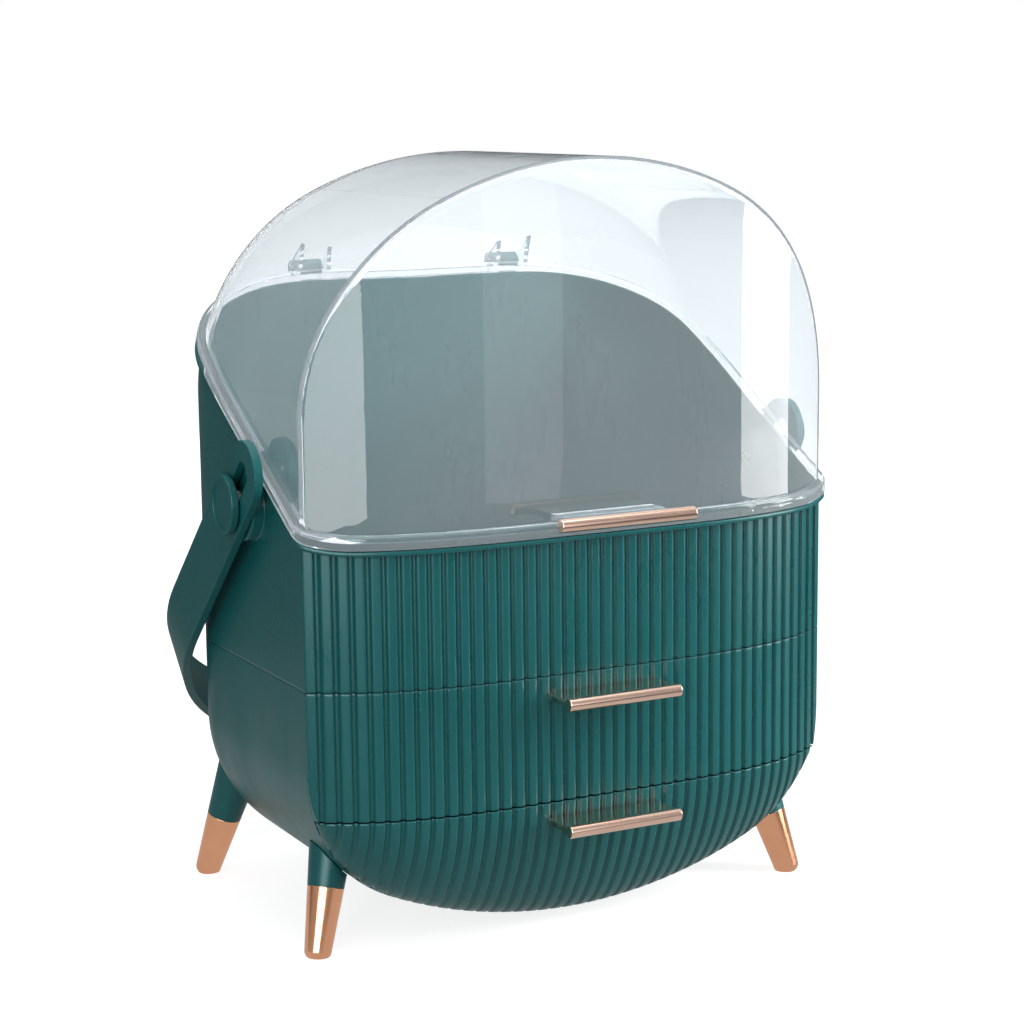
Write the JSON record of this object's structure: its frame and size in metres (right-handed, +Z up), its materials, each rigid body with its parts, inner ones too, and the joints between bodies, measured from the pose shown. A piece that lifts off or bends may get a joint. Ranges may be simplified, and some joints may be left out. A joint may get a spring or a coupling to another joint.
{
  "type": "vanity case",
  "caption": "Capsule-shaped vanity case on splayed legs: fluted bowed front with drawers, open tub under a hinged clear lid, strap handle that swings over it.",
  "frame": {"origin": "on the table under the middle of the overall box", "axes": "+X across the width, -Y out of the fluted front, +Z up"},
  "size_m": [0.3318, 0.3104, 0.3956],
  "materials": {
    "green_plastic": "satin moulded plastic, deep green",
    "clear_plastic": "clear moulded acrylic",
    "rose_gold": "polished rose-gold plating",
    "steel": "zinc-plated steel",
    "white_nylon": "natural nylon"
  },
  "bodies": {
    "case": {"lower_casing": "green_plastic", "mid_shelf": "green_plastic", "upper_tub": "green_plastic", "hinge_pin_left": "steel", "hinge_pin_right": "steel", "tub_screws": "steel", "shelf_screws": "steel", "leg_screws": "steel", "leg_front_left": "green_plastic", "leg_front_right": "green_plastic", "leg_rear_left": "green_plastic", "leg_rear_right": "green_plastic", "leg_tip_front_left": "rose_gold", "leg_tip_front_right": "rose_gold", "leg_tip_rear_left": "rose_gold", "leg_tip_rear_right": "rose_gold"},
    "lid": {"lid_shell": "clear_plastic", "lid_pull": "rose_gold"},
    "upper_drawer": {"upper_drawer_front": "green_plastic", "upper_drawer_tray": "green_plastic", "upper_drawer_pull": "rose_gold", "upper_front_screws": "steel", "upper_pull_screws": "steel"},
    "lower_drawer": {"lower_drawer_front": "green_plastic", "lower_drawer_tray": "green_plastic", "lower_drawer_pull": "rose_gold", "lower_front_screws": "steel", "lower_pull_screws": "steel"},
    "pivots": {"pivot_button_left": "green_plastic", "pivot_button_right": "green_plastic", "pivot_bush_left": "white_nylon", "pivot_bush_right": "white_nylon", "pivot_screws": "steel"},
    "handle": {"carry_handle": "green_plastic"}
  },
  "joints": [
    {"name": "lid_hinge", "type": "hinge", "parent": "case", "child": "lid", "pos_m": [0, 0.09648, 0.33098], "axis": [-1, 0, 0], "range_deg": [0, 95]},
    {"name": "upper_drawer_slide", "type": "slide", "parent": "case", "child": "upper_drawer", "axis": [0, -1, 0], "range_m": [0, 0.118]},
    {"name": "lower_drawer_slide", "type": "slide", "parent": "case", "child": "lower_drawer", "axis": [0, -1, 0], "range_m": [0, 0.11]},
    {"name": "handle_swing", "type": "hinge", "parent": "case", "child": "pivots", "pos_m": [0, -0.03242, 0.2249], "axis": [1, 0, 0], "range_deg": [0, 132.8]},
    {"name": "handle_extend", "type": "slide", "parent": "pivots", "child": "handle", "axis": [0, 0.7337, -0.6794], "range_m": [0, 0.025]}
  ]
}
